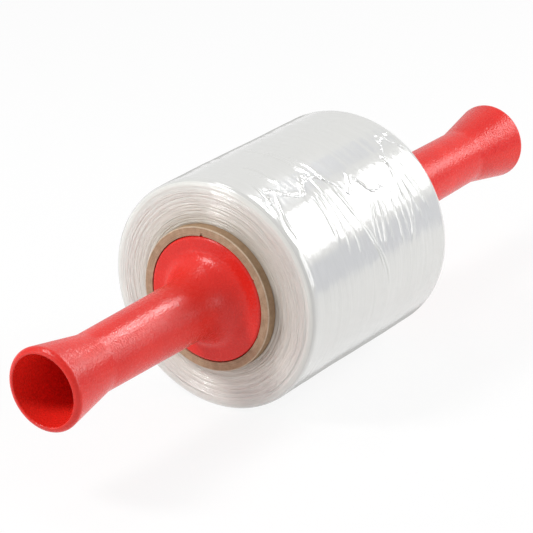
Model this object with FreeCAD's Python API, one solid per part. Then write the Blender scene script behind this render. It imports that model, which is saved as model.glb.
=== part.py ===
import FreeCAD, Part
import math
import os

# Hand roll of stretch film: film wound on a cardboard core, with a hollow flared handle
# turning in each end of the core. The handles have no stop, and the right one is drawn
# out of the core a little. The roll's axis lies along X and the roll rests on a small
# flat that its weight presses into the film. Lengths are in millimetres.
# Angles around the roll are in degrees from the top, towards -Y.

# Wound film
FILM_WIDTH = 127.0
FILM_DIAMETER = 121.5
FILM_EDGE_ROUND_LEFT = 3.0
FILM_EDGE_ROUND_RIGHT = 6.0
FILM_EDGE_STEPS = 4
REST_FLAT_WIDTH = 16.0

# Turns that stand out of the end faces as low ridges
TURN_RIDGES = 8
TURN_RIDGE_HEIGHT = 0.45
TURN_UNEVENNESS = 0.25
TURN_UNEVEN_STEP = 2.4

# Loose end of the film: a flap that ends in a wavy edge and fades into the turn below
FLAP_HEIGHT = 0.7
FLAP_MIDDLE_ANGLE = 48.0
FLAP_HALF_SPAN = 62.0
FLAP_EDGE_ROUND = 9.0
FLAP_END_MARGIN = 1.5
# Tail edge points: place along the roll as a share of half its width, and angle
TAIL_EDGE = (
    (-1.1, 15.0),
    (-0.76, 21.0),
    (-0.52, 29.0),
    (-0.31, 25.0),
    (-0.08, 38.0),
    (0.05, 41.0),
    (0.13, 35.0),
    (0.25, 46.0),
    (0.39, 50.0),
    (0.55, 38.0),
    (0.69, 34.0),
    (0.83, 44.0),
    (1.1, 40.0),
)

# Tension wrinkles below the tail edge: place along the roll as a share of half its width,
# slant, middle angle, half of the angle that it covers, and height
WRINKLES = (
    (-0.79, -4.0, 54.0, 26.0, 0.60),
    (-0.61, 6.0, 50.0, 24.0, 0.70),
    (-0.43, 9.0, 52.0, 24.0, 0.80),
    (-0.27, 4.0, 56.0, 30.0, 0.50),
    (-0.06, 12.0, 62.0, 27.0, 0.80),
    (0.11, -9.0, 63.0, 22.0, 0.70),
    (0.27, 5.0, 68.0, 26.0, 0.60),
    (0.47, -6.0, 64.0, 28.0, 0.80),
    (0.65, 3.0, 58.0, 24.0, 0.60),
    (0.79, -8.0, 60.0, 26.0, 0.50),
)
WRINKLE_HALF_WIDTH = 3.2
WRINKLE_DEPTH = 2.2

# Cardboard core
CORE_DIAMETER = 76.0
CORE_WALL = 4.6
CORE_OVERHANG = 5.3
CORE_EDGE_CHAMFER = 0.4

# Torn nicks in the left mouth of the core: angle, width and radial reach
CORE_NICKS = (
    (-4.5, 4.0, 2.0),
    (59.0, 1.6, 0.9),
    (112.0, 1.8, 0.8),
)
CORE_NICK_DEPTH = 0.9

# Handles
RUNNING_GAP = 0.35
HANDLE_WALL = 3.6
PLUG_LENGTH = 30.0
DRAWN_OUT_LEFT = 0.0
DRAWN_OUT_RIGHT = 13.7
DISC_PROUD = 0.4
DISC_RIM_ROUND = 1.5
TRUMPET_LENGTH = 22.0
TRUMPET_SPREAD = 11.0
GRIP_ROOT_DIAMETER = 32.0
GRIP_DIAMETER = 30.6
GRIP_LENGTH = 91.5
FLARE_LENGTH = 34.7
FLARE_DIAMETER = 43.34
FLARE_KNEE_ROUND = 16.0
LIP_OUTER_ROUND = 2.7
LIP_INNER_ROUND = 0.6

# Sizes that follow from those above
FILM_RADIUS = FILM_DIAMETER / 2
HALF_WIDTH = FILM_WIDTH / 2
CORE_RADIUS = CORE_DIAMETER / 2
CORE_BORE_RADIUS = CORE_RADIUS - CORE_WALL
CORE_END = HALF_WIDTH + CORE_OVERHANG
AXIS_HEIGHT = math.sqrt(FILM_RADIUS**2 - (REST_FLAT_WIDTH / 2) ** 2)
ROLL_MIDDLE = (DRAWN_OUT_LEFT - DRAWN_OUT_RIGHT) / 2
ORIGIN = FreeCAD.Vector(0, 0, 0)
ROLL_AXIS = FreeCAD.Vector(1, 0, 0)
FULL_TURN = 360


def at(x, r):
    """Point of the half plane that is spun about the roll's axis."""
    return FreeCAD.Vector(x, 0, r)


def line(start, end):
    return Part.LineSegment(start, end).toShape()


def polyline(points):
    return [line(a, b) for a, b in zip(points, points[1:])]


def spun(edges):
    """Solid of revolution about the roll's axis from the edges of a closed outline."""
    face = Part.Face(Part.Wire(edges))
    return face.revolve(ORIGIN, ROLL_AXIS, FULL_TURN)


def corner_arc(before, corner, after, radius):
    """Arc that rounds a corner between two straight runs, with its two ends."""
    back = (before - corner).normalize()
    ahead = (after - corner).normalize()
    half_angle = back.getAngle(ahead) / 2
    start = corner + back * (radius / math.tan(half_angle))
    end = corner + ahead * (radius / math.tan(half_angle))
    bisector = (back + ahead).normalize()
    middle = corner + bisector * (radius / math.sin(half_angle) - radius)
    return start, Part.Arc(start, middle, end).toShape(), end


def quarter_ellipse(centre, axial, radial):
    """Concave quarter of an ellipse, from its left end to its lowest point."""
    lowest = at(centre.x, centre.z - radial)
    left = at(centre.x - axial, centre.z)
    if axial >= radial:
        ellipse = Part.Ellipse(left, lowest, centre)
    else:
        ellipse = Part.Ellipse(lowest, left, centre)
    first, last = sorted((ellipse.parameter(left), ellipse.parameter(lowest)))
    if last - first > math.pi:
        first, last = last, first + 2 * math.pi
    return Part.ArcOfEllipse(ellipse, first, last).toShape()


def around_roll(shape, angle):
    """Turn a shape that was built at the top of the roll to its place around it."""
    return shape.rotated(ORIGIN, ROLL_AXIS, angle)


def end_face(face_x, outwards, rounding):
    """Zigzag of the turns in one end face, and the last turns that step back to the rim."""
    pitch = (FILM_RADIUS - rounding - CORE_RADIUS) / TURN_RIDGES
    points = []
    for i in range(TURN_RIDGES):
        valley = CORE_RADIUS + i * pitch
        crest = valley + pitch * (0.5 + TURN_UNEVENNESS * math.sin(TURN_UNEVEN_STEP * i))
        points.append(at(face_x - outwards * TURN_RIDGE_HEIGHT, valley))
        points.append(at(face_x, crest))
    for i in range(FILM_EDGE_STEPS + 1):
        turned = math.pi / 2 * i / FILM_EDGE_STEPS
        back = rounding * (1 - math.cos(turned))
        rise = rounding * math.sin(turned)
        points.append(at(face_x - outwards * back, FILM_RADIUS - rounding + rise))
    return points


def wound_body():
    """The wound turns as one solid, with ridged end faces and rounded edges."""
    left = end_face(-HALF_WIDTH, -1, FILM_EDGE_ROUND_LEFT)
    right = end_face(HALF_WIDTH, 1, FILM_EDGE_ROUND_RIGHT)
    return spun(polyline(left + right[::-1] + left[:1]))


def offset_ring(half_span, height):
    """Radius and offset of a round body that stands out of the film over half_span each way."""
    shift = height / (1 - math.cos(math.radians(half_span)))
    return FILM_RADIUS + height - shift, shift


def tail_flap():
    """Outermost turn where it lies loose, cut off along the wavy tail edge."""
    radius, shift = offset_ring(FLAP_HALF_SPAN, FLAP_HEIGHT)
    end = HALF_WIDTH - FLAP_END_MARGIN
    corners = [at(-end, CORE_RADIUS), at(-end, radius), at(end, radius), at(end, CORE_RADIUS)]
    _, left_round, left_top = corner_arc(*corners[:3], FLAP_EDGE_ROUND)
    right_top, right_round, _ = corner_arc(*corners[1:], FLAP_EDGE_ROUND)
    left_side = line(corners[0], at(-end, radius - FLAP_EDGE_ROUND))
    right_side = line(at(end, radius - FLAP_EDGE_ROUND), corners[3])
    edges = [left_side, left_round, line(left_top, right_top), right_round, right_side]
    edges.append(line(corners[3], corners[0]))
    body = spun(edges)
    body.translate(FreeCAD.Vector(0, 0, shift))

    # The edge is laid out on the plane that faces the flap's middle angle
    def on_plane(share, angle):
        across = FILM_RADIUS * math.sin(math.radians(angle - FLAP_MIDDLE_ANGLE))
        return FreeCAD.Vector(share * HALF_WIDTH, -across, CORE_RADIUS)

    wave = Part.BSplineCurve()
    wave.interpolate([on_plane(share, angle) for share, angle in TAIL_EDGE])
    first, last = wave.StartPoint, wave.EndPoint
    far = [FreeCAD.Vector(point.x, -FILM_RADIUS, CORE_RADIUS) for point in (last, first)]
    outline = [wave.toShape(), line(last, far[0]), line(far[0], far[1]), line(far[1], first)]
    block = Part.Face(Part.Wire(outline)).extrude(FreeCAD.Vector(0, 0, FILM_RADIUS))
    return around_roll(body.common(block), FLAP_MIDDLE_ANGLE)


def wrinkle(share, slant, angle, half_span, height):
    """Low ridge around part of the roll: the part of a leaning ring that stands out of it."""
    radius, shift = offset_ring(half_span, height)
    low = radius - WRINKLE_DEPTH
    points = [at(-WRINKLE_HALF_WIDTH, low), at(0, radius), at(WRINKLE_HALF_WIDTH, low)]
    ring = spun(polyline(points + points[:1]))
    ring.rotate(ORIGIN, FreeCAD.Vector(0, 0, 1), slant)
    ring.translate(FreeCAD.Vector(share * HALF_WIDTH, 0, shift))
    return around_roll(ring, angle)


def film_roll():
    """Wound film with its loose end and wrinkles, open for the core and flat underneath."""
    body = wound_body().fuse([tail_flap()] + [wrinkle(*row) for row in WRINKLES])
    start = FreeCAD.Vector(-FILM_WIDTH, 0, 0)
    core_space = Part.makeCylinder(CORE_RADIUS, 2 * FILM_WIDTH, start, ROLL_AXIS)
    low_corner = FreeCAD.Vector(-FILM_WIDTH, -FILM_RADIUS, -AXIS_HEIGHT - FILM_DIAMETER)
    floor = Part.makeBox(2 * FILM_WIDTH, FILM_DIAMETER, FILM_DIAMETER, low_corner)
    return body.cut([core_space, floor])


def core_nick(angle, width, reach):
    """Wedge torn out of the inner edge of the core's left mouth."""
    mouth = -CORE_END
    inner = CORE_BORE_RADIUS - reach
    outline = [
        FreeCAD.Vector(mouth, -width / 2, inner),
        FreeCAD.Vector(mouth, width / 2, inner),
        FreeCAD.Vector(mouth, 0, CORE_BORE_RADIUS + reach),
    ]
    face = Part.Face(Part.Wire(polyline(outline + outline[:1])))
    return around_roll(face.extrude(ROLL_AXIS * CORE_NICK_DEPTH), angle)


def core():
    """Cardboard tube, a little longer than the film is wide."""
    chamfer = CORE_EDGE_CHAMFER
    outline = [
        at(-CORE_END, CORE_BORE_RADIUS),
        at(-CORE_END, CORE_RADIUS - chamfer),
        at(-CORE_END + chamfer, CORE_RADIUS),
        at(CORE_END - chamfer, CORE_RADIUS),
        at(CORE_END, CORE_RADIUS - chamfer),
        at(CORE_END, CORE_BORE_RADIUS),
    ]
    tube = spun(polyline(outline + outline[:1]))
    return tube.cut([core_nick(*row) for row in CORE_NICKS])


def handle(drawn_out):
    """One moulding of even wall: plug, disc, trumpet, hollow grip, flare and rolled lip."""
    plug = CORE_BORE_RADIUS - RUNNING_GAP
    face = CORE_END + DISC_PROUD + drawn_out
    plug_end = face - PLUG_LENGTH
    root = GRIP_ROOT_DIAMETER / 2
    grip = GRIP_DIAMETER / 2
    bore = grip - HANDLE_WALL
    mouth = FLARE_DIAMETER / 2
    knee_x = face + GRIP_LENGTH
    centre = at(face + TRUMPET_LENGTH, root + TRUMPET_SPREAD)

    # Flare direction, and the direction square to it that points out of the wall
    slope = math.atan2(mouth - grip, FLARE_LENGTH)
    along = at(math.cos(slope), math.sin(slope))
    out = at(-math.sin(slope), math.cos(slope))
    lip_out = at(knee_x + FLARE_LENGTH, mouth)
    lip_in = lip_out - out * HANDLE_WALL
    flare_run = lip_out - along * FLARE_LENGTH
    bore_run = lip_in - along * FLARE_LENGTH
    outer_start, outer_round, outer_end = corner_arc(flare_run, lip_out, lip_in, LIP_OUTER_ROUND)
    inner_start, inner_round, inner_end = corner_arc(lip_out, lip_in, bore_run, LIP_INNER_ROUND)

    # Outside, from the plug's inner end to the lip
    rim_corner = at(face, plug)
    disc_edge = at(face, centre.z)
    rim_start, rim, rim_end = corner_arc(at(plug_end, plug), rim_corner, disc_edge, DISC_RIM_ROUND)
    root_end = at(centre.x, root)
    knee_start, knee, knee_end = corner_arc(root_end, at(knee_x, grip), lip_out, FLARE_KNEE_ROUND)
    outside = [line(at(plug_end, plug), rim_start), rim, line(rim_end, disc_edge)]
    outside += [quarter_ellipse(centre, TRUMPET_LENGTH, TRUMPET_SPREAD)]
    outside += [line(root_end, knee_start), knee, line(knee_end, outer_start)]
    lip = [outer_round, line(outer_end, inner_start), inner_round]

    # Inside, from the lip back to the plug's inner end
    reach = (lip_in.z - bore) / math.tan(slope)
    inner_knee = at(lip_in.x - reach, bore)
    bore_end = at(centre.x, bore)
    inside_start, inside_knee, inside_end = corner_arc(
        lip_in, inner_knee, bore_end, FLARE_KNEE_ROUND + HANDLE_WALL
    )
    web = face - HANDLE_WALL
    web_edge = at(web, centre.z)
    inner_corner = at(web, plug - HANDLE_WALL)
    skirt_end = at(plug_end, plug - HANDLE_WALL)
    inside = [line(inner_end, inside_start), inside_knee, line(inside_end, bore_end)]
    inside += [quarter_ellipse(centre, TRUMPET_LENGTH + HANDLE_WALL, centre.z - bore)]
    inside += polyline([web_edge, inner_corner, skirt_end, at(plug_end, plug)])
    return spun(Part.sortEdges(outside + lip + inside)[0])


def handle_right():
    return handle(DRAWN_OUT_RIGHT)


def handle_left():
    """The same moulding, turned to face the other way."""
    return handle(DRAWN_OUT_LEFT).rotated(ORIGIN, FreeCAD.Vector(0, 0, 1), FULL_TURN / 2)


NODES = {
    "film_roll": film_roll,
    "core": core,
    "handle_left": handle_left,
    "handle_right": handle_right,
}

# The origin is on the floor under the middle of the whole length
os.makedirs("parts", exist_ok=True)
for node, make in NODES.items():
    shape = make().translated(FreeCAD.Vector(ROLL_MIDDLE, 0, AXIS_HEIGHT))
    solids = shape.Solids
    if len(solids) != 1 or not solids[0].isValid():
        raise ValueError(f"{node} is not one valid solid")
    solids[0].exportStep(f"parts/{node}.step")
    print(f"{node}: {solids[0].Volume / 1000:.1f} cm3, {len(solids[0].Faces)} faces")
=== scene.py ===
import math
from collections import namedtuple

import bmesh
import bpy
import numpy as np
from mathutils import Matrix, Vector

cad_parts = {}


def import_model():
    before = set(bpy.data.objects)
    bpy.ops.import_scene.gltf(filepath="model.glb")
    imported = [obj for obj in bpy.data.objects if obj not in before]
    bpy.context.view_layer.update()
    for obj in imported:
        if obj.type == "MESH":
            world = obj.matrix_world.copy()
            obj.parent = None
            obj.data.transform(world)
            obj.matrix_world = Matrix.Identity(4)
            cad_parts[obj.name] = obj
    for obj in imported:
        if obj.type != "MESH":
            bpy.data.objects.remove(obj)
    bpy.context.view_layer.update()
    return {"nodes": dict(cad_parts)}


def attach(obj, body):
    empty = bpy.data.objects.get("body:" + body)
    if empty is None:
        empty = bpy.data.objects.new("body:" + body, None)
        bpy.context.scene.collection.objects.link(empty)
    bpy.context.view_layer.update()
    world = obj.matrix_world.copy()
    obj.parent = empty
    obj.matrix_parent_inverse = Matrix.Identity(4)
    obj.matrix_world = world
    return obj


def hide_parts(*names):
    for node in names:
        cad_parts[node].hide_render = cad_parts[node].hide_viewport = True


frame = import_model()

# Sizes of the CAD model that the pieces are fitted to, in millimetres
MM = 0.001
FILM_RADIUS = 60.75
HALF_WIDTH = 63.5
CORE_RADIUS = 38.0
CORE_HALF_LENGTH = 68.8
REST_HALF_FLAT = 8.0
AXIS_HEIGHT = math.sqrt(FILM_RADIUS**2 - REST_HALF_FLAT**2)
ROLL_MIDDLE = -6.85
EDGE_ROUND_LEFT = 3.0
EDGE_ROUND_RIGHT = 6.0

# One seeded generator serves every draw, so each run gives the same roll
random = np.random.RandomState(4127)

# Seeded tables for the small unevenness of the film: places along by places around
TABLES = {
    "streak": random.normal(0, 1, (420, 40)),
    "patch": random.normal(0, 1, (60, 90)),
    "crumple": random.normal(0, 1, (97, 331)),
    "band": random.normal(0, 1, (83, 14)),
}


def place(x, radius, angle):
    """Points of the CAD frame, in metres, from places on the roll: along from its middle,
    out from its axis, and around from the top towards -Y in degrees. None of them lies below
    the floor, which leaves the flat that the roll rests on."""
    turned = np.radians(angle)
    y = -radius * np.sin(turned)
    z = AXIS_HEIGHT + radius * np.cos(turned)
    return np.stack([x + ROLL_MIDDLE, y, np.maximum(z, 0)], axis=-1) * MM


def arc_length(angle):
    """Millimetres around the film's side from degrees."""
    return np.radians(angle) * FILM_RADIUS


def smooth_step(low, high, value):
    """Zero up to low and one from high on, with a smooth change between them."""
    t = np.clip((value - low) / (high - low), 0, 1)
    return t * t * (3 - 2 * t)


def grid_faces(rows, columns, wrap_rows, wrap_columns):
    """Corner numbers of the quads of a grid of points."""
    i, j = np.meshgrid(
        np.arange(rows if wrap_rows else rows - 1),
        np.arange(columns if wrap_columns else columns - 1),
        indexing="ij",
    )
    up, over = (i + 1) % rows, (j + 1) % columns
    corners = [i * columns + j, i * columns + over, up * columns + over, up * columns + j]
    return np.stack(corners, axis=-1).reshape(-1, 4)


def mesh_piece(name, points, faces, materials, face_materials):
    """Smooth closed mesh object from points and faces, with its faces turned outwards."""
    mesh = bpy.data.meshes.new(name)
    mesh.from_pydata(points.tolist(), [], faces)
    mesh.polygons.foreach_set("use_smooth", np.ones(len(faces), bool))
    for material in materials:
        mesh.materials.append(material)
    mesh.polygons.foreach_set("material_index", face_materials.astype(np.int32))
    turning = bmesh.new()
    turning.from_mesh(mesh)
    bmesh.ops.recalc_face_normals(turning, faces=turning.faces)
    turning.to_mesh(mesh)
    turning.free()
    mesh.update()
    piece = bpy.data.objects.new(name, mesh)
    bpy.context.scene.collection.objects.link(piece)
    return piece


# Materials

RollPlace = namedtuple("RollPlace", "along side up")


def linear(red, green, blue):
    """Linear colour from the usual 0 to 255 numbers."""
    channels = []
    for value in (red, green, blue):
        c = value / 255
        channels.append(c / 12.92 if c <= 0.04045 else ((c + 0.055) / 1.055) ** 2.4)
    return (*channels, 1.0)


class Tree:
    """Short way to write the nodes of a material or a world."""

    def __init__(self, owner):
        owner.use_nodes = True
        self.owner = owner
        self.nodes = owner.node_tree.nodes
        self.links = owner.node_tree.links
        self.nodes.clear()

    def add(self, kind, inputs=None, **settings):
        """New node with its settings, then its inputs: links from sockets, or plain values."""
        node = self.nodes.new("ShaderNode" + kind)
        for key, value in settings.items():
            setattr(node, key, value)
        for key, value in (inputs or {}).items():
            if isinstance(value, bpy.types.NodeSocket):
                self.links.new(value, node.inputs[key])
            else:
                node.inputs[key].default_value = value
        return node

    def math(self, operation, a, b=0.0, c=0.0):
        return self.add("Math", {0: a, 1: b, 2: c}, operation=operation).outputs[0]

    def vector(self, x, y, z=0.0):
        return self.add("CombineXYZ", {0: x, 1: y, 2: z}).outputs[0]

    def noise(self, inputs, dimensions="3D"):
        return self.add("TexNoise", inputs, noise_dimensions=dimensions).outputs["Fac"]

    def span(self, value, low, high, to_low=0.0, to_high=1.0):
        """Value carried evenly from one pair of limits to another, and held at them."""
        inputs = {
            "Value": value,
            "From Min": low,
            "From Max": high,
            "To Min": to_low,
            "To Max": to_high,
        }
        return self.add("MapRange", inputs).outputs[0]

    def mix(self, factor, a, b):
        inputs = {"Factor": factor, "A": a, "B": b}
        return self.add("Mix", inputs, data_type="RGBA").outputs["Result"]

    def ramp(self, factor, stops):
        """Colour ramp from rows of place and colour in 0 to 255 numbers."""
        node = self.add("ValToRGB", {"Fac": factor})
        elements = node.color_ramp.elements
        while len(elements) < len(stops):
            elements.new(0.5)
        for element, (position, colour) in zip(elements, stops):
            element.position = position
            element.color = linear(*colour)
        return node.outputs["Color"]

    def bump(self, height, distance, strength=1.0):
        inputs = {"Height": height, "Strength": strength, "Distance": distance}
        return self.add("Bump", inputs).outputs[0]

    def surface(self, inputs):
        shader = self.add("BsdfPrincipled", inputs)
        self.add("OutputMaterial", {"Surface": shader.outputs[0]})
        return self.owner


def material_tree(name):
    return Tree(bpy.data.materials.new(name))


def roll_place(tree):
    """Object coordinates in millimetres: along the roll, sideways, and up from its axis."""
    coordinates = tree.add("TexCoord").outputs["Object"]
    split = tree.add("SeparateXYZ", {0: coordinates}).outputs
    return RollPlace(
        tree.math("MULTIPLY", split[0], 1 / MM),
        tree.math("MULTIPLY", split[1], 1 / MM),
        tree.math("MULTIPLY_ADD", split[2], 1 / MM, -AXIS_HEIGHT),
    )


def roll_radius(tree, at):
    """Distance out from the roll's axis in millimetres."""
    side_squared = tree.math("MULTIPLY", at.side, at.side)
    return tree.math("SQRT", tree.math("MULTIPLY_ADD", at.up, at.up, side_squared))


def film_surface(tree, colour, bump, roughness, coat_roughness):
    """Milky turns under a clear glossy one."""
    return tree.surface(
        {
            "Base Color": colour,
            "Roughness": roughness,
            "Specular IOR Level": 0.5,
            "Coat Weight": 1.0,
            "Coat Roughness": coat_roughness,
            "Coat IOR": 1.8,
            "Normal": bump,
            "Coat Normal": bump,
        }
    )


def side_film_material():
    """Clear turns over a milky roll: fine streaks around it, sharp and soft reflections."""
    tree = material_tree("film_side")
    at = roll_place(tree)
    # Quick change along the roll and slow change around it draws streaks
    quick, slow = 1.25, 0.03
    stretched = tree.vector(
        tree.math("MULTIPLY", at.along, quick),
        tree.math("MULTIPLY", at.side, slow),
        tree.math("MULTIPLY", at.up, slow),
    )
    streaks = tree.noise({"Vector": stretched, "Scale": 1.0, "Detail": 5.0, "Roughness": 0.62})
    base = tree.ramp(streaks, [(0.25, (216, 216, 213)), (0.75, (222, 222, 219))])
    # The pull on the film shows as stronger streaks on its front
    pulled = tree.span(at.side, -36.0, -54.0, to_low=0.3, to_high=1.0)
    bump = tree.bump(tree.math("MULTIPLY", streaks, pulled), 0.00008)
    return film_surface(tree, base, bump, roughness=0.24, coat_roughness=0.05)


def end_film_material():
    """Cut edges of the turns: fine rings with pearly glints, partly painted, darker towards the
    core, partly by painted shade.
    """
    tree = material_tree("film_end")
    at = roll_place(tree)
    radius = roll_radius(tree, at)
    # Quick change outwards and slow change around draws rings
    quick, slow = 0.75, 0.02
    turns = tree.noise(
        {
            "Vector": tree.vector(
                tree.math("MULTIPLY", at.side, slow), tree.math("MULTIPLY", at.up, slow)
            ),
            "W": tree.math("MULTIPLY", radius, quick),
            "Scale": 1.0,
            "Detail": 4.0,
            "Roughness": 0.62,
        },
        dimensions="4D",
    )
    # Share of the way from the core to just past the rim
    face_depth = 23.0
    share = tree.math("DIVIDE", tree.math("SUBTRACT", radius, CORE_RADIUS), face_depth)
    # Darker towards the core: partly the brown core seen through the clear turns, partly painted
    # shade in the corner by the core
    base = tree.ramp(
        share,
        [
            (0.0, (206, 197, 184)),
            (0.12, (224, 218, 207)),
            (0.4, (239, 236, 227)),
            (0.72, (242, 240, 233)),
            (0.88, (237, 238, 232)),
            (1.0, (223, 226, 221)),
        ],
    )
    # Ring brightness in the colour: partly the turns' own tone, partly painted glints and painted
    # shade as the rings catch the light
    shade = tree.span(turns, 0.35, 0.65, to_low=0.92, to_high=1.06)
    colour = tree.add("VectorMath", {0: base, 1: shade}, operation="MULTIPLY").outputs[0]
    # The outermost turns fold over the rim and hide the rings there
    shown = tree.span(share, 0.74, 0.9, to_low=1.0, to_high=0.12)
    bump = tree.bump(tree.math("MULTIPLY", turns, shown), 0.0022)
    return film_surface(tree, colour, bump, roughness=0.3, coat_roughness=0.12)


def edge_film_material():
    """Bunched edge of the loose end, with a painted highlight: its colour is whiter than the rest,
    for the light it gathers.
    """
    tree = material_tree("film_edge")
    point = tree.vector(*roll_place(tree))
    painted_edge_light = tree.noise({"Vector": point, "Scale": 1.1, "Detail": 3.0})
    base = tree.ramp(painted_edge_light, [(0.3, (232, 233, 233)), (0.6, (252, 252, 251))])
    bump = tree.bump(painted_edge_light, 0.0003)
    return film_surface(tree, base, bump, roughness=0.3, coat_roughness=0.08)


def cardboard_material():
    """Spiral-wound paper tube: soft mottling, fibres, plies in its end, a darker lining outside
    that also carries painted shade.
    """
    tree = material_tree("core_cardboard")
    at = roll_place(tree)
    radius = roll_radius(tree, at)
    point = tree.vector(*at)
    mottle = tree.noise({"Vector": point, "Scale": 0.3, "Detail": 6.0, "Roughness": 0.65})
    fibre = tree.noise({"Vector": point, "Scale": 2.6, "Detail": 4.0, "Roughness": 0.7})
    ply_place = tree.math("MULTIPLY", radius, 2.6)
    ply = tree.noise({"W": ply_place, "Scale": 1.0, "Detail": 2.0}, dimensions="1D")
    mixed = tree.math("MULTIPLY", mottle, 0.45)
    mixed = tree.math("MULTIPLY_ADD", fibre, 0.25, mixed)
    mixed = tree.math("MULTIPLY_ADD", ply, 0.3, mixed)
    cut = tree.ramp(
        mixed, [(0.36, (150, 124, 98)), (0.52, (184, 157, 129)), (0.68, (210, 187, 159))]
    )
    # Outer wall colour: the liner's darker kraft, and painted shade where the wall sits in shade
    # beside the film
    liner_and_painted_shade = tree.ramp(mixed, [(0.36, (138, 108, 82)), (0.68, (184, 153, 121))])
    outside = tree.span(radius, CORE_RADIUS - 0.25, CORE_RADIUS - 0.05)
    colour = tree.mix(outside, cut, liner_and_painted_shade)
    # Painted highlight: fibres stand out pale along the cut's outer corner, where the edge would
    # catch the light
    from_middle = tree.math("ABSOLUTE", tree.math("SUBTRACT", at.along, ROLL_MIDDLE))
    at_end = tree.span(from_middle, CORE_HALF_LENGTH - 0.8, CORE_HALF_LENGTH - 0.2)
    at_rim = tree.span(radius, CORE_RADIUS - 0.7, CORE_RADIUS - 0.2)
    painted_rim_highlight = tree.math("MULTIPLY", tree.math("MULTIPLY", at_end, at_rim), fibre)
    colour = tree.mix(painted_rim_highlight, colour, linear(240, 226, 204))
    return tree.surface(
        {
            "Base Color": colour,
            "Roughness": 0.8,
            "Specular IOR Level": 0.3,
            "Normal": tree.bump(mixed, 0.0005, strength=0.8),
        }
    )


def plastic_material():
    """Red moulding with a crinkled leathery grain."""
    tree = material_tree("handle_plastic")
    point = tree.add("TexCoord").outputs["Object"]
    grain = tree.add(
        "TexVoronoi",
        {"Vector": point, "Scale": 860.0, "Randomness": 1.0, "Smoothness": 0.3},
        feature="SMOOTH_F1",
    ).outputs["Distance"]
    crinkle = tree.noise(
        {"Vector": point, "Scale": 430.0, "Detail": 4.0, "Roughness": 0.6, "Distortion": 1.4}
    )
    uneven = tree.noise({"Vector": point, "Scale": 60.0, "Detail": 3.0})
    height = tree.math("MULTIPLY", grain, 0.7)
    height = tree.math("MULTIPLY_ADD", crinkle, 0.9, height)
    height = tree.math("MULTIPLY_ADD", uneven, 0.5, height)
    return tree.surface(
        {
            "Base Color": tree.ramp(uneven, [(0.3, (228, 38, 29)), (0.7, (238, 46, 35))]),
            "Roughness": tree.span(crinkle, 0.35, 0.65, to_low=0.21, to_high=0.31),
            "Specular IOR Level": 0.38,
            "Normal": tree.bump(height, 0.00015),
        }
    )


side_film = side_film_material()
end_film = end_film_material()
edge_film = edge_film_material()
cardboard = cardboard_material()
plastic = plastic_material()


def dress(node, material):
    """Gives a CAD node one material."""
    mesh = frame["nodes"][node].data
    mesh.materials.clear()
    mesh.materials.append(material)


dress("core", cardboard)
dress("handle_left", plastic)
dress("handle_right", plastic)
dress("film_roll", side_film)

# Wound film, in millimetres along and out and in degrees around

BODY_ANGLES = 384
SIDE_STEP = 1.4
FACE_RINGS = 76
ROUND_STEPS = 9
# Rows of each end face take in the first steps of its rounding
LEFT_FACE_ROWS = FACE_RINGS + 3
RIGHT_FACE_ROWS = FACE_RINGS + 4
# Draws for the depth of the turns in an end face, squared, so that most are shallow
RING_DRAWS = 30
RING_ROOT = 0.55
# The slow unevenness sets in on the end faces from this radius outwards
SWELL_RADIUS = 50.0

# Both sheets start a little inside the wound turns and end well inside them
SHEET_STEP = 0.42
SHEET_SUNK = 0.12
SHEET_DEPTH = 0.9
UNDERSIDE_LINES = 7

WRAP_START = 4.0
WRAP_END = 133.0
WRAP_MARGIN = 14.0
WRAP_HALF_WIDTH = 62.4
WRAP_HALF_FLAT = 59.5
WRAP_LIFT = 0.16
WRINKLE_WIDTHS = (0.5, 0.62, 0.74)
WRINKLE_HEIGHTS = (0.19, 0.24, 0.29, 0.34)
# The pull on the turn sets in between the first two angles and dies away between the others
PULL_SETS_IN = (20, 45)
PULL_DIES_AWAY = (128, 92)

TAIL_START = -84.0
TAIL_MARGIN = 30.0
TAIL_HALF_WIDTH = 62.2
TAIL_HALF_FLAT = 58.5
TAIL_LIFT = 0.12
TAIL_RISE = 0.07
TAIL_STEPS = 246
# Below one, the steps crowd towards the crumpled edge
TAIL_CROWDING = 0.62
# Last lines of the loose end, past its edge in degrees and down from its height
PLUNGE_ANGLES = np.array([0.22, 0.42, 0.6])
PLUNGE_DEPTHS = np.array([0.1, 0.35, 0.9])
# The edge's line is smoothed by the kernel, and then wanders by so many degrees
EDGE_KERNEL = np.array([1, 2, 3, 2, 1]) / 9
EDGE_WANDER = 0.8
EDGE_WANDER_PITCH = 1.1
# How far the crumpling reaches back from the edge, and the band there that gets a painted
# highlight
EDGE_REACH = 3.2
EDGE_BAND = 0.9
CREASE_WIDTH = 0.7
CREASE_HEIGHTS = (0.22, 0.27)
CRUMPLE_WIDTH = 0.75
CRUMPLE_HEIGHTS = (0.62, 0.52, 0.42)

# A crease rises and falls over these shares of its length
RIDGE_RISE = 0.16
RIDGE_FALL = 0.18

# Slow waves of the wound turns: height, waves in a turn, change along, phase
SWELL_WAVES = (
    (0.10, 2, 0.021, 0.6),
    (0.07, 3, -0.05, 2.1),
    (0.05, 5, 0.083, 0.0),
    (0.04, 0, 0.19, 1.3),
)
# Layers of seeded unevenness: height, slant, pitch along, repeats in a turn, table
SWELL_LAYERS = ((0.022, 0.1, 2.3, 1.0, "band"), (0.012, 0.3, 6.0, 1.0, "patch"))
PULL_LAYERS = (
    (0.01, 0.2, 0.9, 1.0, "streak"),
    (0.02, 0.3, 3.7, 0.7, "streak"),
    (0.02, 0.0, 6.0, 1.0, "patch"),
)
TAIL_LAYERS = ((0.02, 0.2, 2.9, 0.7, "streak"),)
# Crumpling near the edge: height, shift along, shift around, pitch along, repeats in a turn
EDGE_LAYERS = ((0.12, 0.0, 0.0, 1.35, 1.0), (0.09, 9.0, 5.0, 3.1, 0.45))

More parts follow.
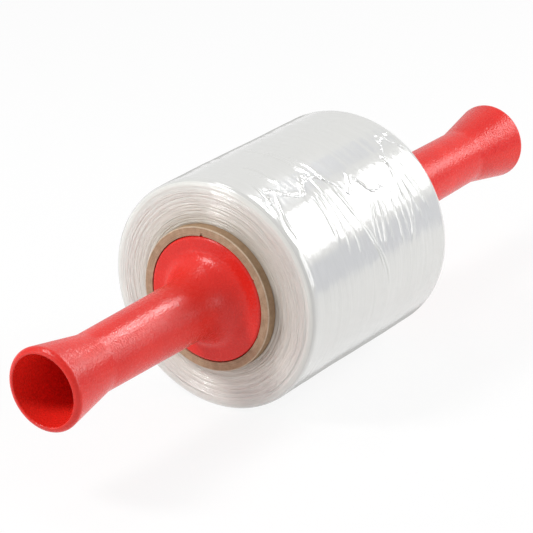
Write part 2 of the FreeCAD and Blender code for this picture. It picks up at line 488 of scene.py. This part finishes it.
# Lines that the photograph shows in the outermost turns: places along and around
CREASES = (
    ((-15.6, -13.9), (-14.4, -0.9), (-16.2, 11.3), (-16.1, 23.8), (-13.7, 27.5)),
    ((-13.1, 8.0), (-11.4, 16.8), (-10.6, 23.9), (-12.8, 30.9)),
    ((-39.7, -1.0), (-36.5, 6.5), (-37.8, 14.7), (-37.4, 21.9)),
    ((-12.4, -18.5), (-16.9, -9.3), (-16.8, 5.1), (-18.0, 14.6), (-17.7, 24.1)),
    ((-42.4, 4.9), (-41.1, 13.8), (-36.9, 21.6)),
)
WRINKLES = (
    (
        (-18.4, 35.2), (-17.8, 40.7), (-17.0, 48.4), (-15.5, 59.0), (-15.8, 67.5),
        (-16.9, 73.4),
    ),
    ((-26.9, 33.1), (-28.5, 41.8), (-30.0, 52.0), (-30.8, 61.6)),
    (
        (-9.2, 33.9), (-8.8, 42.7), (-7.9, 52.6), (-3.2, 63.0), (-0.9, 72.2),
        (3.5, 83.0), (5.7, 95.8),
    ),
    ((-12.3, 30.4), (-11.5, 38.8), (-10.3, 49.8), (-6.5, 60.6), (-2.2, 73.1), (1.8, 86.9)),
    ((-17.1, 21.9), (-19.3, 34.4), (-21.1, 47.2), (-22.6, 61.6), (-25.3, 71.7)),
    ((-23.4, 32.8), (-24.2, 42.0), (-28.4, 54.5), (-30.5, 62.5)),
    ((11.1, 47.3), (7.0, 55.3), (3.6, 63.0), (2.5, 73.3)),
    ((14.0, 48.3), (11.6, 56.7), (7.3, 66.3), (4.6, 73.9)),
    ((17.4, 50.6), (13.4, 61.7), (12.0, 74.1)),
    ((10.4, 46.7), (3.0, 56.9), (-1.6, 68.3), (-2.2, 76.1)),
    ((24.3, 51.7), (22.4, 58.0), (20.9, 68.4), (20.6, 77.9)),
    ((37.3, 38.6), (34.3, 47.9), (32.5, 57.8), (31.8, 68.6), (27.8, 81.2)),
    ((36.5, 38.2), (33.8, 46.5), (27.2, 59.3), (26.4, 77.0)),
    ((42.0, 44.6), (38.8, 55.0), (34.3, 66.8), (29.3, 80.5)),
    ((39.4, 43.4), (38.1, 56.2), (41.9, 70.6)),
    ((42.3, 44.4), (44.4, 55.9), (48.6, 66.1)),
    ((44.0, 39.1), (46.6, 49.1), (47.6, 60.4), (49.6, 68.9)),
    ((-46.6, 25.9), (-53.1, 33.6), (-56.0, 40.3), (-57.1, 52.0)),
    ((-49.4, 29.3), (-55.7, 37.9), (-57.9, 47.2)),
    ((-50.8, 10.5), (-53.0, 22.1), (-58.3, 35.0), (-62.1, 45.5), (-61.3, 62.3)),
    ((-61.8, 45.5), (-60.2, 52.9), (-58.4, 64.1), (-59.5, 77.1)),
)

# Edge of the loose end of the film, and the crumples along it: places along and around
TAIL_EDGE = (
    (-62.5, 22.0), (-58.0, 27.0), (-55.4, 29.5), (-51.5, 26.5), (-49.0, 22.5), (-46.5, 22.0),
    (-44.6, 27.8), (-39.2, 29.5), (-36.0, 32.3), (-34.5, 33.6), (-30.5, 31.4), (-28.0, 29.0),
    (-24.6, 27.2), (-19.3, 26.5), (-15.7, 27.1), (-12.0, 30.3), (-10.0, 34.2), (-5.6, 38.5),
    (-4.5, 44.0), (-1.5, 43.4), (1.2, 41.0), (5.6, 38.0), (8.2, 40.6), (10.4, 45.4),
    (13.0, 47.3), (15.4, 47.8), (20.6, 46.7), (22.8, 48.0), (25.2, 51.4), (28.0, 49.6),
    (30.3, 46.5), (33.6, 42.0), (37.1, 38.0), (41.0, 32.6), (45.0, 27.6), (49.0, 25.6),
    (52.6, 29.9), (55.6, 34.0), (59.6, 38.2), (62.5, 40.5),
)
CRUMPLES = (
    ((-46.9, 22.0), (-51.7, 26.0), (-55.4, 29.5), (-57.5, 34.0)),
    ((-44.6, 27.8), (-39.2, 29.0), (-33.0, 30.4)),
    ((-44.0, 30.2), (-38.5, 31.5), (-33.5, 33.8)),
    ((-34.8, 34.1), (-29.0, 30.4), (-24.6, 27.2), (-22.5, 23.0)),
    ((-24.6, 27.2), (-19.3, 26.5), (-15.7, 27.1), (-12.0, 30.3), (-5.6, 38.5)),
    ((-5.0, 45.2), (-3.9, 41.2), (2.8, 37.0), (5.6, 32.0)),
    ((6.6, 38.0), (9.7, 41.7), (10.9, 46.6), (15.4, 47.8), (20.6, 46.7), (24.1, 51.9)),
    ((36.8, 33.0), (37.1, 38.5), (36.0, 44.5)),
    ((49.0, 25.1), (44.5, 30.0), (45.5, 35.5), (41.0, 38.5)),
    ((52.6, 29.9), (49.5, 35.0), (50.5, 41.0)),
    ((55.6, 34.0), (53.6, 38.0), (56.2, 43.0)),
)
# Small gathered lumps in the loose end: along, around, radius and height
BEADS = (
    (36.6, 38.4, 0.9, 0.5), (-26.5, 27.2, 0.9, 0.5), (-29.9, 31.7, 1.0, 0.6),
    (-29.4, 29.8, 0.8, 0.6), (-16.3, 28.4, 0.9, 0.5), (-11.0, 28.6, 0.8, 0.4),
    (-46.8, 22.2, 0.8, 0.6), (-52.6, 25.9, 0.9, 0.7), (-55.6, 30.1, 0.9, 0.6),
    (-59.0, 34.7, 0.9, 0.5), (-44.1, 25.3, 0.8, 0.6), (-55.5, 37.0, 0.9, 0.5),
    (50.8, 25.6, 0.9, 0.7), (54.7, 24.9, 0.9, 0.6), (48.1, 23.1, 0.8, 0.5),
    (53.6, 33.7, 1.0, 0.6), (54.8, 37.8, 0.9, 0.5), (42.9, 34.8, 0.8, 0.5),
    (1.4, 39.2, 0.9, 0.5), (-3.6, 45.1, 1.0, 0.6), (19.2, 46.5, 0.8, 0.5),
    (24.0, 51.9, 0.8, 0.5), (8.0, 38.8, 0.8, 0.5),
)


def noise_grid(x, angle, pitch, repeats, draws):
    """Smooth unevenness from a seeded table of numbers, read at places on the film."""
    rows, columns = draws.shape
    u = (x / pitch) % rows
    v = (angle / 360 * columns * repeats) % columns
    i, j = np.floor(u).astype(int) % rows, np.floor(v).astype(int) % columns
    s, t = u - np.floor(u), v - np.floor(v)
    s, t = s * s * (3 - 2 * s), t * t * (3 - 2 * t)
    below = draws[i, j] * (1 - t) + draws[i, (j + 1) % columns] * t
    above = draws[(i + 1) % rows, j] * (1 - t) + draws[(i + 1) % rows, (j + 1) % columns] * t
    return below * (1 - s) + above * s


def add_layers(height, x, angle, layers, weight=1.0):
    """Height with its layers of seeded unevenness on top."""
    for size, slant, pitch, repeats, table in layers:
        layer = noise_grid(x, angle + slant * x, pitch, repeats, TABLES[table])
        height = height + weight * size * layer
    return height


def swell(x, angle):
    """Slow unevenness of the wound turns."""
    turned = np.radians(angle)
    height = np.zeros(x.shape)
    for size, waves, along, phase in SWELL_WAVES:
        height += size * np.sin(waves * turned + along * x + phase)
    return add_layers(height, x, angle, SWELL_LAYERS)


def rim_radius(x):
    """Radius of the wound film's side, which rounds off towards its two ends."""
    over_left = np.clip(-HALF_WIDTH + EDGE_ROUND_LEFT - x, 0, EDGE_ROUND_LEFT)
    over_right = np.clip(x - HALF_WIDTH + EDGE_ROUND_RIGHT, 0, EDGE_ROUND_RIGHT)
    left = EDGE_ROUND_LEFT - np.sqrt(EDGE_ROUND_LEFT**2 - over_left**2)
    right = EDGE_ROUND_RIGHT - np.sqrt(EDGE_ROUND_RIGHT**2 - over_right**2)
    return FILM_RADIUS - left - right


def end_face(rounding):
    """Radius and depth of the lines of an end face, whose turns never lie quite in one plane."""
    turned = np.radians(np.linspace(0, 90, ROUND_STEPS + 1)[1:])
    draws = random.uniform(0, RING_ROOT, RING_DRAWS) ** 2
    straight = np.linspace(CORE_RADIUS, FILM_RADIUS - rounding, FACE_RINGS)
    depth = np.interp(straight, np.linspace(CORE_RADIUS, FILM_RADIUS, RING_DRAWS), draws)
    depth[-1] = 0
    radius = np.concatenate([straight, FILM_RADIUS - rounding + rounding * np.sin(turned)])
    back = np.concatenate([depth, rounding * (1 - np.cos(turned))])
    return radius, back


def ring_of_film():
    """The wound turns with both end faces: one closed ring around the core."""
    left_radius, left_back = end_face(EDGE_ROUND_LEFT)
    right_radius, right_back = end_face(EDGE_ROUND_RIGHT)
    side_start, side_end = -HALF_WIDTH + EDGE_ROUND_LEFT, HALF_WIDTH - EDGE_ROUND_RIGHT
    side_x = np.arange(side_start, side_end, SIDE_STEP)[1:]
    side_radius = np.full(len(side_x), FILM_RADIUS)
    x = np.concatenate([-HALF_WIDTH + left_back, side_x, (HALF_WIDTH - right_back)[::-1]])
    radius = np.concatenate([left_radius, side_radius, right_radius[::-1]])
    angle = np.arange(BODY_ANGLES) * 360.0 / BODY_ANGLES
    grid_x, grid_angle = np.meshgrid(x, angle, indexing="ij")
    out = smooth_step(SWELL_RADIUS, FILM_RADIUS, radius)[:, None]
    grid_radius = radius[:, None] + out * swell(grid_x, grid_angle)
    points = place(grid_x, grid_radius, grid_angle).reshape(-1, 3)
    faces = grid_faces(len(x), BODY_ANGLES, True, True)
    row = faces[:, 0] // BODY_ANGLES
    end_rows = (row < LEFT_FACE_ROWS) | (row >= len(x) - RIGHT_FACE_ROWS)
    piece = mesh_piece("film_body", points, faces.tolist(), [side_film, end_film], end_rows)
    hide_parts("film_roll")
    return piece


def rounded_line(points):
    """Places along a line with its corners cut twice, as (along, arc) in millimetres."""
    line = np.array(points, float)
    line[:, 1] = arc_length(line[:, 1])
    for _ in range(2):
        near = line[:-1] * 0.75 + line[1:] * 0.25
        far = line[:-1] * 0.25 + line[1:] * 0.75
        cut = np.stack([near, far], axis=1).reshape(-1, 2)
        line = np.concatenate([line[:1], cut, line[-1:]])
    return line


def ridge(x, arc, points, width, height):
    """Low rounded crease that follows a line and fades at both of its ends."""
    line = rounded_line(points)
    steps = np.linalg.norm(np.diff(line, axis=0), axis=1)
    start = np.concatenate([[0], np.cumsum(steps)])
    nearest = np.full(x.shape, np.inf)
    share = np.zeros(x.shape)
    for a, b, at_a, step in zip(line, line[1:], start, steps):
        d = (b - a) / step
        t = np.clip((x - a[0]) * d[0] + (arc - a[1]) * d[1], 0, step)
        away = np.hypot(x - a[0] - t * d[0], arc - a[1] - t * d[1])
        closer = away < nearest
        nearest = np.where(closer, away, nearest)
        share = np.where(closer, (at_a + t) / start[-1], share)
    fade = smooth_step(0, RIDGE_RISE, share) * smooth_step(0, RIDGE_FALL, 1 - share)
    return height * fade * np.exp(-((nearest / width) ** 2))


def wrinkled(x, angle):
    """Height of the film below the loose end: tension wrinkles and fine streaks around it."""
    height = np.zeros(x.shape)
    for number, line in enumerate(WRINKLES):
        width = WRINKLE_WIDTHS[number % len(WRINKLE_WIDTHS)]
        rise = WRINKLE_HEIGHTS[number % len(WRINKLE_HEIGHTS)]
        height += ridge(x, arc_length(angle), line, width, rise)
    pull = smooth_step(*PULL_SETS_IN, angle) * smooth_step(*PULL_DIES_AWAY, angle)
    return add_layers(height, x, angle, PULL_LAYERS, weight=pull)


def film_wrap():
    """The turn under the loose end, wrinkled by the pull on it."""
    x = np.arange(-WRAP_HALF_WIDTH, WRAP_HALF_WIDTH, SHEET_STEP)
    angle = np.arange(WRAP_START, WRAP_END, np.degrees(SHEET_STEP / FILM_RADIUS))
    grid_x, grid_angle = np.meshgrid(x, angle, indexing="ij")
    inside = smooth_step(WRAP_START, WRAP_START + WRAP_MARGIN, grid_angle)
    inside *= smooth_step(WRAP_END, WRAP_END - WRAP_MARGIN, grid_angle)
    inside *= smooth_step(WRAP_HALF_WIDTH, WRAP_HALF_FLAT, np.abs(grid_x))
    lift = -SHEET_SUNK + inside * (WRAP_LIFT + wrinkled(grid_x, grid_angle))
    painted_edge_light = np.zeros(grid_x.shape, bool)
    return closed_sheet("film_wrap", grid_x, grid_angle, lift, painted_edge_light)


def tail_edge(x):
    """Angle of the crumpled edge of the loose end at places along the roll."""
    knots = np.array(TAIL_EDGE)
    edge = np.interp(x, knots[:, 0], knots[:, 1])
    padded = np.pad(edge, len(EDGE_KERNEL) // 2, mode="edge")
    edge = np.convolve(padded, EDGE_KERNEL, mode="valid")
    wander = noise_grid(x, np.zeros(len(x)), EDGE_WANDER_PITCH, 1.0, TABLES["patch"])
    return edge + EDGE_WANDER * wander


def tail_height(x, angle, near):
    """Height of the loose end: creases, and crumples and beads that gather near its edge."""
    arc = arc_length(angle)
    height = TAIL_RISE + TAIL_RISE * near
    for number, line in enumerate(CREASES):
        rise = CREASE_HEIGHTS[number % len(CREASE_HEIGHTS)]
        height = height + ridge(x, arc, line, CREASE_WIDTH, rise)
    for number, line in enumerate(CRUMPLES):
        rise = CRUMPLE_HEIGHTS[number % len(CRUMPLE_HEIGHTS)]
        height = height + ridge(x, arc, line, CRUMPLE_WIDTH, rise)
    for bead_x, bead_angle, bead_radius, bead_height in BEADS:
        away = np.hypot(x - bead_x, arc - arc_length(bead_angle)) / bead_radius
        height = height + bead_height * np.exp(-(away**2))
    for size, over, around, pitch, repeats in EDGE_LAYERS:
        layer = noise_grid(x + over, angle + around, pitch, repeats, TABLES["crumple"])
        height = height + near * size * layer
    return add_layers(height, x, angle, TAIL_LAYERS)


def film_tail():
    """The loose end of the film: it lies on the turn below and ends in a crumpled edge."""
    x = np.arange(-TAIL_HALF_WIDTH, TAIL_HALF_WIDTH, SHEET_STEP)
    edge = tail_edge(x)[:, None]
    share = np.linspace(0, 1, TAIL_STEPS) ** TAIL_CROWDING
    plunge = len(PLUNGE_ANGLES)
    grid_x = np.repeat(x[:, None], len(share) + plunge, axis=1)
    flat_angle = TAIL_START + (edge - TAIL_START) * share
    grid_angle = np.concatenate([flat_angle, edge + PLUNGE_ANGLES], axis=1)
    to_edge = arc_length(edge - grid_angle)
    near = np.exp(-np.clip(to_edge, 0, None) / EDGE_REACH)
    inside = smooth_step(TAIL_START, TAIL_START + TAIL_MARGIN, grid_angle)
    inside *= smooth_step(TAIL_HALF_WIDTH, TAIL_HALF_FLAT, np.abs(grid_x))
    lift = -SHEET_SUNK + inside * (TAIL_LIFT + tail_height(grid_x, grid_angle, near))
    lift[:, -plunge:] -= PLUNGE_DEPTHS
    # Painted highlight: the band along the edge gets the whiter edge material
    return closed_sheet("film_tail", grid_x, grid_angle, lift, to_edge < EDGE_BAND)


def closed_sheet(name, x, angle, lift, painted_edge_light):
    """Solid whose top is a grid of points and whose underside lies inside the wound film.
    Its height is over the swell of the turns, and its places with the painted edge highlight read
    whiter."""
    rows, columns = x.shape
    radius = rim_radius(x) + swell(x, angle) + lift
    points = [place(x, radius, angle).reshape(-1, 3)]
    faces = grid_faces(rows, columns, False, False).tolist()
    whiter = painted_edge_light.reshape(-1)[[face[0] for face in faces]]
    low = radius[:, [0, -1]].min(axis=1) - SHEET_DEPTH
    for line in range(UNDERSIDE_LINES):
        share = line / (UNDERSIDE_LINES - 1)
        points.append(place(x[:, 0], low, angle[:, 0] * (1 - share) + angle[:, -1] * share))
    first = rows * columns
    for line in range(UNDERSIDE_LINES - 1):
        for i in range(rows - 1):
            a = first + line * rows + i
            faces.append([a, a + rows, a + rows + 1, a + 1])
    last = first + (UNDERSIDE_LINES - 1) * rows
    for i in range(rows - 1):
        faces.append([i * columns, first + i, first + i + 1, (i + 1) * columns])
        j = i * columns + columns - 1
        faces.append([j, j + columns, last + i + 1, last + i])
    for i in (0, rows - 1):
        top = list(range(i * columns, (i + 1) * columns))
        under = [first + line * rows + i for line in range(UNDERSIDE_LINES)]
        faces.append(top + under[::-1])
    face_materials = np.zeros(len(faces), int)
    face_materials[: len(whiter)] = whiter
    return mesh_piece(name, np.concatenate(points), faces, [side_film, edge_film], face_materials)


for film_piece in (ring_of_film(), film_wrap(), film_tail()):
    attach(film_piece, "roll")

# Floor, light and camera, in metres

SOFT_WHITE = (1.0, 1.0, 1.0, 1.0)
FLOOR_BOUNCE = (0.88, 0.88, 0.88, 1.0)
FLOOR_GLOW = 0.87
FLOOR_HALF = 4.0
FLOOR_DROP = 0.0002
WORLD_LIGHT = 0.43
CARD_BLUE = (0.33, 0.375, 0.56, 1.0)
CARD_GREY = (0.5, 0.5, 0.49, 1.0)

# Name, centre, width, height, radiance, and whether it only shows in reflections.
# The softbox over the grip draws the long highlight there.
SOFTBOXES = (
    ("softbox_right", (0.943, -0.56, 0.67), 0.5, 0.58, 6.2, False),
    ("softbox_top", (0.0, 0.48, 1.17), 0.28, 0.28, 5.5, False),
    ("softbox_front", (0.5, -1.12, 0.42), 0.7, 0.6, 3.1, False),
    ("softbox_left", (-0.66, 0.46, 0.9), 0.28, 0.28, 26.5, False),
    ("softbox_grip", (0.166, -0.05, 0.385), 0.15, 0.06, 31.0, True),
    ("softbox_rim", (-1.02, 0.65, 0.24), 0.3, 0.3, 3.5, False),
)
# Name, two opposite corners and colour. The blue cards draw cool bands in the film. The grey
# ones lie on the floor behind and under the roll, so that its outline reflects less white; the one
# under it is a painted shadow, the floor's contact shadow as the film reflects it.
CARDS = (
    ("card_low", (0.2, -0.371, 0.0), (0.62, -0.371, 0.19), CARD_BLUE),
    ("card_high", (0.55, -0.11, 0.62), (0.68, 0.11, 0.62), CARD_BLUE),
    ("card_back", (0.0, 0.1, 0.001), (0.9, 0.5, 0.001), CARD_GREY),
    # Painted shadow: grey strip for the floor's contact shadow, seen only in reflections
    ("card_under_painted_shadow", (-0.06, -0.04, 0.0005), (0.12, 0.0, 0.0005), CARD_GREY),
)

# The camera's angles in degrees, and its place from the roll's middle at the floor
CAMERA_AZIMUTH = -55.060
CAMERA_ELEVATION = 23.107
CAMERA_LENS = 174.75
CAMERA_PLACE = (-1.01344, -0.69653, 0.57864)


def seen_directly(tree):
    """One for rays of the camera, reflections and clear materials, and zero for the light."""
    path = tree.add("LightPath").outputs
    seen = tree.math("MAXIMUM", path["Is Camera Ray"], path["Is Glossy Ray"])
    return tree.math("MAXIMUM", seen, path["Is Transmission Ray"])


def stage_rectangle(name, low, high, material):
    """Flat rectangle between two opposite corners, which isn't part of the object."""
    corners = [low, (high[0], low[1], low[2]), high, (low[0], high[1], high[2])]
    mesh = bpy.data.meshes.new(name)
    mesh.from_pydata(corners, [], [(0, 1, 2, 3)])
    mesh.materials.append(material)
    flat = bpy.data.objects.new(name, mesh)
    bpy.context.scene.collection.objects.link(flat)
    return flat


def floor():
    """White floor that keeps the roll's soft shadow."""
    tree = material_tree("floor")
    seen = seen_directly(tree)
    pale = tree.mix(seen, FLOOR_BOUNCE, SOFT_WHITE)
    body = tree.add("BsdfDiffuse", {"Color": pale})
    white = tree.add("Emission", {"Color": SOFT_WHITE, "Strength": 1.0})
    glow = tree.math("MULTIPLY", seen, FLOOR_GLOW)
    mixed = tree.add("MixShader", {0: glow, 1: body.outputs[0], 2: white.outputs[0]})
    tree.add("OutputMaterial", {"Surface": mixed.outputs[0]})
    low, high = (-FLOOR_HALF, -FLOOR_HALF, 0.0), (FLOOR_HALF, FLOOR_HALF, 0.0)
    ground = stage_rectangle("floor", low, high, tree.owner)
    ground.location.z = -FLOOR_DROP


def world():
    """Plain world that is brighter to the eye than it is as a light."""
    tree = Tree(bpy.data.worlds.new("studio"))
    level = tree.span(seen_directly(tree), 0.0, 1.0, to_low=WORLD_LIGHT)
    background = tree.add("Background", {"Strength": level})
    tree.add("OutputWorld", {"Surface": background.outputs[0]})
    bpy.context.scene.world = tree.owner


def softbox(name, centre, width, height, radiance, glossy_only):
    """Even rectangular light that faces the roll and doesn't show in the picture."""
    data = bpy.data.lights.new(name, "AREA")
    data.shape = "RECTANGLE"
    data.size = width
    data.size_y = height
    data.energy = radiance * math.pi * width * height
    lamp = bpy.data.objects.new(name, data)
    lamp.location = centre
    lamp.visible_camera = False
    lamp.visible_diffuse = not glossy_only
    towards = Vector((0, 0, AXIS_HEIGHT * MM)) - Vector(centre)
    lamp.rotation_mode = "QUATERNION"
    lamp.rotation_quaternion = towards.to_track_quat("-Z", "Y")
    bpy.context.scene.collection.objects.link(lamp)


def card(name, low, high, colour):
    """Plain studio card that only shows in reflections."""
    tree = material_tree(name)
    glow = tree.add("Emission", {"Color": colour, "Strength": 1.0})
    tree.add("OutputMaterial", {"Surface": glow.outputs[0]})
    flag = stage_rectangle(name, low, high, tree.owner)
    flag.visible_camera = False
    flag.visible_diffuse = False
    flag.visible_shadow = False
    flag.visible_transmission = False


def camera():
    """Camera at the photograph's viewing angle."""
    data = bpy.data.cameras.new("camera")
    data.sensor_width = 36.0
    data.lens = CAMERA_LENS
    data.clip_start = 0.05
    data.clip_end = 50.0
    made = bpy.data.objects.new("camera", data)
    azimuth, elevation = math.radians(CAMERA_AZIMUTH), math.radians(CAMERA_ELEVATION)
    back = Vector(
        (
            math.sin(azimuth) * math.cos(elevation),
            -math.cos(azimuth) * math.cos(elevation),
            math.sin(elevation),
        )
    )
    made.location = Vector(CAMERA_PLACE) + Vector((ROLL_MIDDLE * MM, 0, 0))
    made.rotation_mode = "QUATERNION"
    made.rotation_quaternion = (-back).to_track_quat("-Z", "Y")
    bpy.context.scene.collection.objects.link(made)
    bpy.context.scene.camera = made


floor()
world()
for row in SOFTBOXES:
    softbox(*row)
for row in CARDS:
    card(*row)
camera()

bpy.context.scene.view_settings.view_transform = "Standard"
